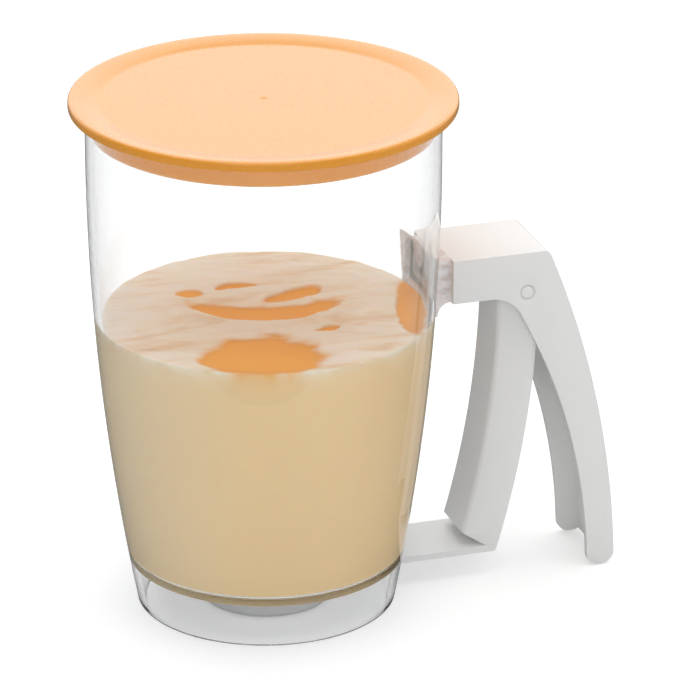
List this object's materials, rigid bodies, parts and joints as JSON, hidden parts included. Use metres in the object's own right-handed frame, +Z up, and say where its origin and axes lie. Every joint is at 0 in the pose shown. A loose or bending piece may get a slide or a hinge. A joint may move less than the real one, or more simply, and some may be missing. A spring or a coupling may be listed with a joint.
{
  "type": "batter dispenser",
  "caption": "Hand held batter dispenser: clear tapered cup with lift-off lid, side grip and sprung trigger lever that opens a valve cap under the outlet.",
  "frame": {"origin": "centre of the cup's lower rim, on the table, on the axis of the cup", "axes": "+Z up along the cup's axis, +X from the cup towards the grip, +Y to the left of the grip"},
  "size_m": [0.194, 0.1348, 0.1876],
  "materials": {
    "clear_plastic": "clear, glossy",
    "lid_plastic": "satin, slightly translucent",
    "white_plastic": "satin",
    "pin_plastic": "satin",
    "silicone": "matte",
    "spring_steel": "bright"
  },
  "bodies": {
    "dispenser": {"cup": "clear_plastic", "handle": "white_plastic", "pivot_pin": "pin_plastic", "return_spring": "spring_steel", "handle_screws": "spring_steel"},
    "lid": {"lid": "lid_plastic"},
    "trigger": {"trigger_lever": "white_plastic", "valve_cap": "white_plastic", "outlet_seal": "silicone"}
  },
  "joints": [
    {"name": "lid_lift", "type": "slide", "parent": "dispenser", "child": "lid", "axis": [0, 0, 1], "range_m": [0, 0.04]},
    {"name": "trigger_pivot", "type": "hinge", "parent": "dispenser", "child": "trigger", "pos_m": [0.0918, 0, 0.1096], "axis": [0, -1, 0], "range_deg": [0, 20], "stiffness_Nm_per_rad": 0.12, "springref_deg": -40.11, "deforming": ["return_spring"]}
  ]
}
